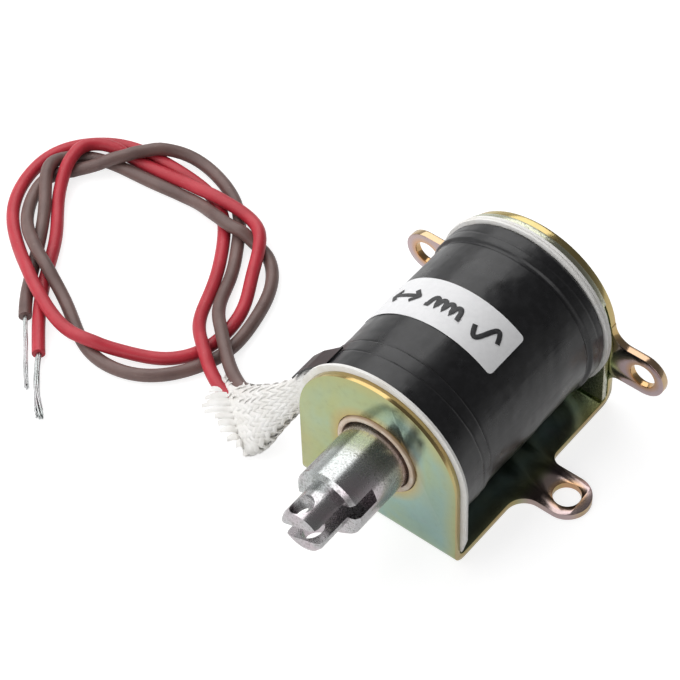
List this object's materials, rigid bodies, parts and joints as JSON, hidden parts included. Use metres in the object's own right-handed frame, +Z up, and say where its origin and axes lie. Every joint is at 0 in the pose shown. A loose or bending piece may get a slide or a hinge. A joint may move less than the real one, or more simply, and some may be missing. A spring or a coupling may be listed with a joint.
{
  "type": "push pull solenoid",
  "caption": "Open-frame push pull solenoid: bent steel bracket with fixing lugs, taped coil, forked plunger with a cross hole, and two free leads in a woven sleeve.",
  "frame": {"origin": "centre of the underside of the frame's base, midway between the flanges", "axes": "+Y along the plunger, in the pull-in direction; +Z up through the coil; +X to the right seen from the plunger's end"},
  "size_m": [0.141, 0.0723, 0.0393],
  "materials": {
    "zinc_frame": "yellow zinc plated",
    "pole_steel": "zinc plated",
    "plunger_steel": "clear zinc plated, turned",
    "shading_copper": "bare copper",
    "tube_nylon": "natural",
    "card": "smooth insulating card",
    "winding_copper": "enamelled wire",
    "wrap_paper": "plain",
    "black_tape": "glossy adhesive tape",
    "label_paper": "printed sticker",
    "sleeve_weave": "woven glass fibre",
    "red_insulation": "satin",
    "brown_insulation": "satin",
    "tinned_wire": "tinned strands"
  },
  "bodies": {
    "housing": {"frame": "zinc_frame", "pole_plate": "pole_steel", "fixed_core": "plunger_steel", "shading_ring": "shading_copper", "guide_tube": "tube_nylon", "front_card": "card", "rear_card_inner": "card", "rear_card_outer": "card", "winding": "winding_copper", "winding_wrap": "wrap_paper", "coil_tape": "black_tape", "front_tape_band": "black_tape", "rear_tape_band": "black_tape", "tape_tail": "black_tape", "rating_label": "label_paper", "lead_sleeve": "sleeve_weave", "red_lead": "red_insulation", "brown_lead": "brown_insulation", "red_lead_end": "tinned_wire", "brown_lead_end": "tinned_wire"},
    "plunger_body": {"plunger": "plunger_steel"}
  },
  "joints": [
    {"name": "plunger_slide", "type": "slide", "parent": "housing", "child": "plunger_body", "axis": [0, 1, 0], "range_m": [0, 0.01]}
  ]
}
